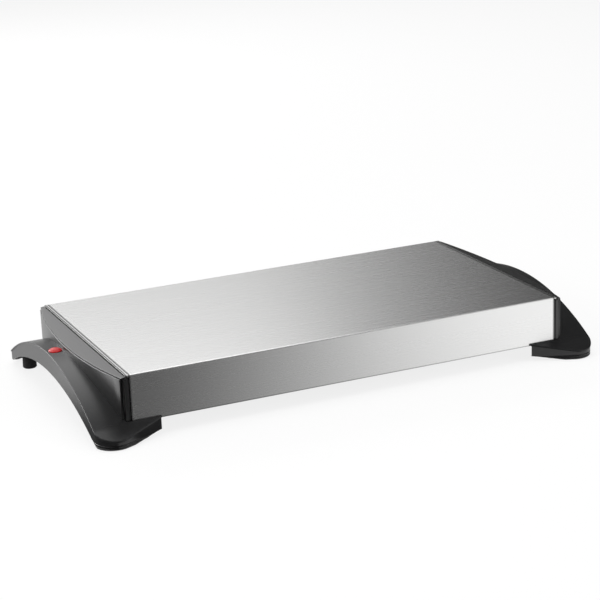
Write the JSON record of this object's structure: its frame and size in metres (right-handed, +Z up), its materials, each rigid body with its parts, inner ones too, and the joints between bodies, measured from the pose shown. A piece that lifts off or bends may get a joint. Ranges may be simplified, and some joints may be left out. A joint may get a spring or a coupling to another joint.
{
  "type": "electric food warmer tray",
  "caption": "Low electric food warmer tray: brushed steel top on two dark end mouldings with arched carry handles, rubber feet, a red pilot lamp and a mains inlet.",
  "frame": {"origin": "on the table, under the middle of the two handles", "axes": "+X to the right end along the length, +Y to the back where the inlet is, +Z up"},
  "size_m": [0.585, 0.333, 0.0695],
  "materials": {
    "steel": "fine brushed along the length",
    "dark_plastic": "fine grained moulding",
    "panel_plastic": "fine grained moulding",
    "rubber": "matt",
    "zinc_steel": "zinc plated",
    "lamp_red": "clear red, polished",
    "holder_plastic": "matt",
    "bulb_glass": "clear",
    "inlet_plastic": "smooth moulding",
    "brass": "bright",
    "aluminium": "mill finish",
    "element_steel": "heat darkened",
    "ceramic": "glazed",
    "shield_sheet": "galvanised",
    "fibre": "felted fibre",
    "brown_sheath": "smooth",
    "blue_sheath": "smooth",
    "green_sheath": "smooth",
    "red_sheath": "smooth",
    "black_sheath": "smooth"
  },
  "bodies": {
    "root": {"top_cover": "steel", "base_plate": "shield_sheet", "base_screws": "zinc_steel", "left_end_cap": "dark_plastic", "right_end_cap": "dark_plastic", "left_handle": "dark_plastic", "right_handle": "dark_plastic", "left_grip_panel": "panel_plastic", "right_grip_panel": "panel_plastic", "grip_screws": "zinc_steel", "handle_screws": "zinc_steel", "front_left_foot": "rubber", "front_right_foot": "rubber", "back_left_foot": "rubber", "back_right_foot": "rubber", "foot_screws": "zinc_steel", "pilot_lamp_lens": "lamp_red", "pilot_lamp_holder": "holder_plastic", "pilot_lamp_bulb": "bulb_glass", "appliance_inlet": "inlet_plastic", "inlet_pins": "brass", "inlet_screws": "zinc_steel", "heat_spreader": "aluminium", "heating_element": "element_steel", "element_terminals": "ceramic", "element_clamps": "shield_sheet", "heat_shield": "shield_sheet", "insulation_mat": "fibre", "support_rails": "shield_sheet", "thermostat": "ceramic", "thermal_fuse": "ceramic", "fuse_clip": "zinc_steel", "terminal_block": "ceramic", "earth_stud": "brass", "live_lead": "brown_sheath", "neutral_lead": "blue_sheath", "earth_lead": "green_sheath", "heater_leads": "red_sheath", "lamp_leads": "black_sheath"}
  },
  "joints": []
}
